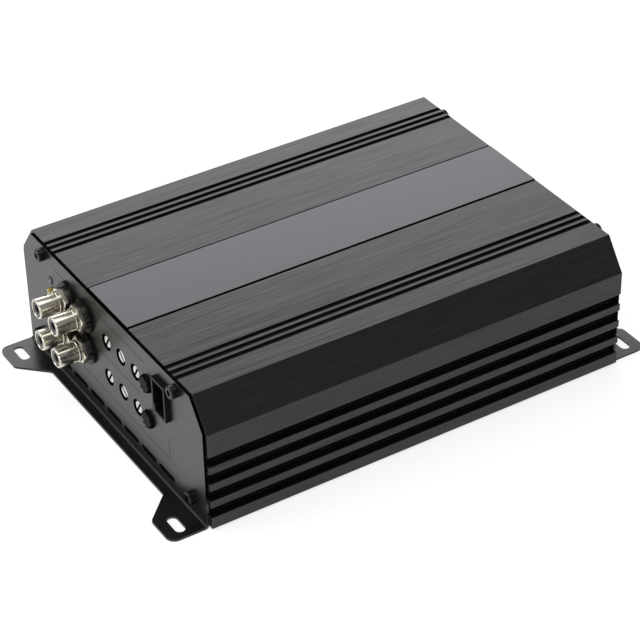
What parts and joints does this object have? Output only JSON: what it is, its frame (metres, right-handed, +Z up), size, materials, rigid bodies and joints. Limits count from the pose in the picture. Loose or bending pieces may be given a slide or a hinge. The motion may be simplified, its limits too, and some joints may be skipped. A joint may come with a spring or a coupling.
{
  "type": "car amplifier",
  "caption": "Compact car audio amplifier: finned extruded case, bent end plates with slotted feet, line-input jacks, trimmers, rotary selectors and rear sockets.",
  "frame": {"origin": "middle of the mounting plane under the four tabs", "axes": "+Z up from the mounting plane, +Y along the extrusion away from the line inputs, +X to the right seen from the line-input end"},
  "size_m": [0.15, 0.2236, 0.0583],
  "materials": {
    "anodised_case": "brushed along its length, dark grey anodised",
    "satin_panel": "fine satin, grey anodised",
    "powder_coat": "black powder coat, semi-gloss",
    "cover_steel": "black paint",
    "black_screw": "black oxide",
    "zinc_screw": "zinc plated",
    "nickel_plate": "bright nickel plate",
    "black_washer": "black",
    "jack_core": "grey moulded insulator",
    "gold_contact": "plated contact",
    "trim_case": "moulded case",
    "trim_rotor": "white moulded rotor",
    "knob_black": "black moulded knob",
    "lamp_clear": "clear lens",
    "lamp_amber": "amber lens",
    "socket_black": "black moulded housing",
    "fuse_body": "orange moulded fuse",
    "board": "green solder mask",
    "ferrite": "sintered ferrite",
    "copper_wire": "enamelled copper",
    "capacitor_sleeve": "dark sleeve",
    "chip_case": "moulded case",
    "thermal_silicone": "grey silicone pad",
    "bar_steel": "plain steel"
  },
  "bodies": {
    "case": {"board_link_header": "socket_black", "board_screws": "zinc_screw", "bottom_cover": "cover_steel", "bottom_cover_screws": "black_screw", "centre_panel": "satin_panel", "clamp_bars": "bar_steel", "clamp_screws": "zinc_screw", "control_board": "board", "driver_chips": "chip_case", "front_end_plate": "powder_coat", "front_plate_screws": "black_screw", "fuse": "fuse_body", "fuse_holder": "socket_black", "heatsink_body": "anodised_case", "main_board": "board", "mode_switch_body_1": "trim_case", "mode_switch_body_2": "trim_case", "output_choke_left": "ferrite", "output_choke_right": "ferrite", "power_led": "lamp_clear", "power_led_bezel": "nickel_plate", "power_socket_housing": "socket_black", "power_transistors": "chip_case", "rail_capacitor_front": "capacitor_sleeve", "rail_capacitor_rear": "capacitor_sleeve", "rca_contacts": "gold_contact", "rca_insulators": "jack_core", "rca_lock_washers": "nickel_plate", "rca_nuts": "nickel_plate", "rca_shell_1": "nickel_plate", "rca_shell_2": "nickel_plate", "rca_shell_3": "nickel_plate", "rca_shell_4": "nickel_plate", "rca_washers": "black_washer", "rear_end_plate": "powder_coat", "rear_plate_screws": "black_screw", "rear_socket_pins": "gold_contact", "signal_socket_housing": "socket_black", "signal_socket_pins": "gold_contact", "speaker_socket_housing": "socket_black", "status_led": "lamp_amber", "thermal_pads": "thermal_silicone", "toroid_core": "ferrite", "toroid_winding": "copper_wire", "trim_pot_body_1": "trim_case", "trim_pot_body_2": "trim_case", "trim_pot_body_3": "trim_case", "trim_pot_body_4": "trim_case", "trim_pot_body_5": "trim_case", "trim_pot_body_6": "trim_case"},
    "trim_rotor_1": {"trim_pot_rotor_1": "trim_rotor"},
    "trim_rotor_2": {"trim_pot_rotor_2": "trim_rotor"},
    "trim_rotor_3": {"trim_pot_rotor_3": "trim_rotor"},
    "trim_rotor_4": {"trim_pot_rotor_4": "trim_rotor"},
    "trim_rotor_5": {"trim_pot_rotor_5": "trim_rotor"},
    "trim_rotor_6": {"trim_pot_rotor_6": "trim_rotor"},
    "mode_knob_1": {"mode_switch_knob_1": "knob_black"},
    "mode_knob_2": {"mode_switch_knob_2": "knob_black"}
  },
  "joints": [
    {"name": "trim_1_turn", "type": "hinge", "parent": "case", "child": "trim_rotor_1", "pos_m": [-0.0016, -0.092, 0.0413], "axis": [0, 1, 0], "range_deg": [0, 280]},
    {"name": "trim_2_turn", "type": "hinge", "parent": "case", "child": "trim_rotor_2", "pos_m": [0.01, -0.092, 0.0413], "axis": [0, 1, 0], "range_deg": [-104, 176]},
    {"name": "trim_3_turn", "type": "hinge", "parent": "case", "child": "trim_rotor_3", "pos_m": [0.0216, -0.092, 0.0413], "axis": [0, 1, 0], "range_deg": [0, 280]},
    {"name": "trim_4_turn", "type": "hinge", "parent": "case", "child": "trim_rotor_4", "pos_m": [-0.0016, -0.092, 0.0245], "axis": [0, 1, 0], "range_deg": [0, 280]},
    {"name": "trim_5_turn", "type": "hinge", "parent": "case", "child": "trim_rotor_5", "pos_m": [0.01, -0.092, 0.0245], "axis": [0, 1, 0], "range_deg": [-104, 176]},
    {"name": "trim_6_turn", "type": "hinge", "parent": "case", "child": "trim_rotor_6", "pos_m": [0.0216, -0.092, 0.0245], "axis": [0, 1, 0], "range_deg": [0, 280]},
    {"name": "mode_1_turn", "type": "hinge", "parent": "case", "child": "mode_knob_1", "pos_m": [0.0309, -0.092, 0.0419], "axis": [0, 1, 0], "range_deg": [0, 240]},
    {"name": "mode_2_turn", "type": "hinge", "parent": "case", "child": "mode_knob_2", "pos_m": [0.0309, -0.092, 0.025], "axis": [0, 1, 0], "range_deg": [0, 240]}
  ]
}
